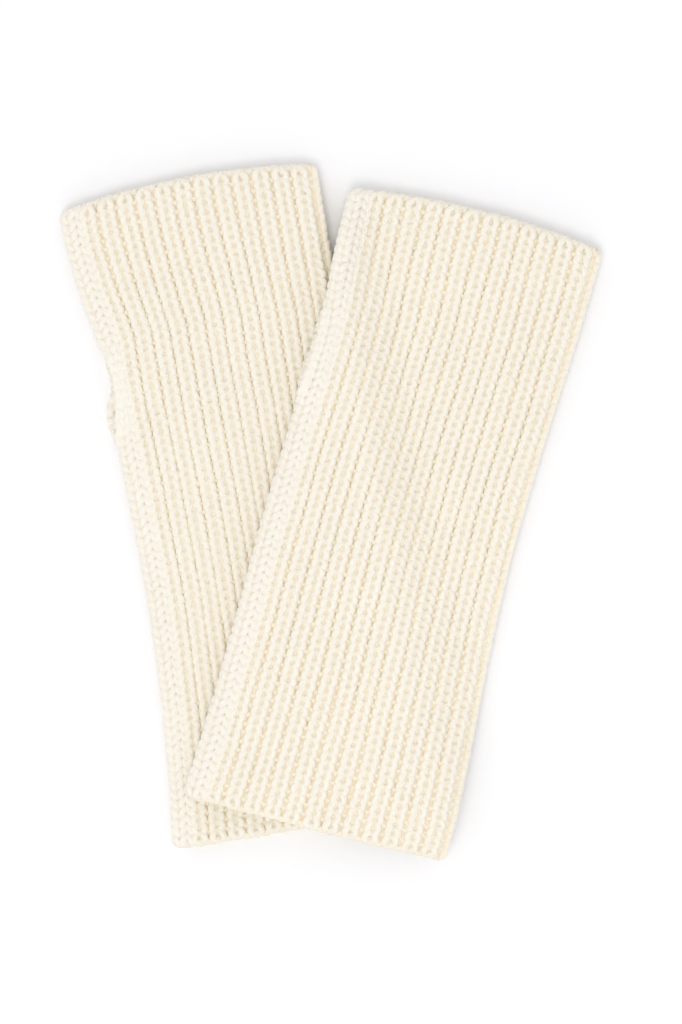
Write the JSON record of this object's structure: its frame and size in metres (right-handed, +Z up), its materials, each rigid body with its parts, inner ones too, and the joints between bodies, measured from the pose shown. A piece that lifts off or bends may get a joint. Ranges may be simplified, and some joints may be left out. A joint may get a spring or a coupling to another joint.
{
  "type": "fingerless gloves",
  "caption": "Pair of chunky rib-knit fingerless gloves lying flat in a V, one wrist over the other; open tubes with a thumb opening left in the side seam.",
  "frame": {"origin": "on the table, under the middle of the pair's box as the gloves lie", "axes": "+Z up from the table, +Y towards the finger ends and along the pair's longest extent, +X towards the upper glove's finger end"},
  "size_m": [0.1984, 0.2537, 0.0227],
  "materials": {
    "rib_knit": "matte",
    "selvedge_knit": "matte",
    "rim_knit": "matte",
    "seam_yarn": "matte"
  },
  "bodies": {
    "lower_glove": {"lower_back_panel": "rib_knit", "lower_palm_panel": "rib_knit", "lower_fold_edge": "rib_knit", "lower_hand_seam_band": "selvedge_knit", "lower_wrist_seam_band": "selvedge_knit", "lower_thumb_front_edge": "selvedge_knit", "lower_thumb_rear_edge": "selvedge_knit", "lower_finger_rim": "rim_knit", "lower_wrist_rim": "rim_knit", "lower_hand_seam_yarn": "seam_yarn", "lower_wrist_seam_yarn": "seam_yarn", "lower_yarn_tails": "seam_yarn"},
    "upper_glove": {"upper_back_panel": "rib_knit", "upper_palm_panel": "rib_knit", "upper_fold_edge": "rib_knit", "upper_hand_seam_band": "selvedge_knit", "upper_wrist_seam_band": "selvedge_knit", "upper_thumb_front_edge": "selvedge_knit", "upper_thumb_rear_edge": "selvedge_knit", "upper_finger_rim": "rim_knit", "upper_wrist_rim": "rim_knit", "upper_hand_seam_yarn": "seam_yarn", "upper_wrist_seam_yarn": "seam_yarn", "upper_yarn_tails": "seam_yarn"}
  },
  "joints": [
    {"name": "upper_glove_lift", "type": "slide", "parent": "lower_glove", "child": "upper_glove", "axis": [0, 0, 1], "range_m": [0, 0.12]}
  ]
}
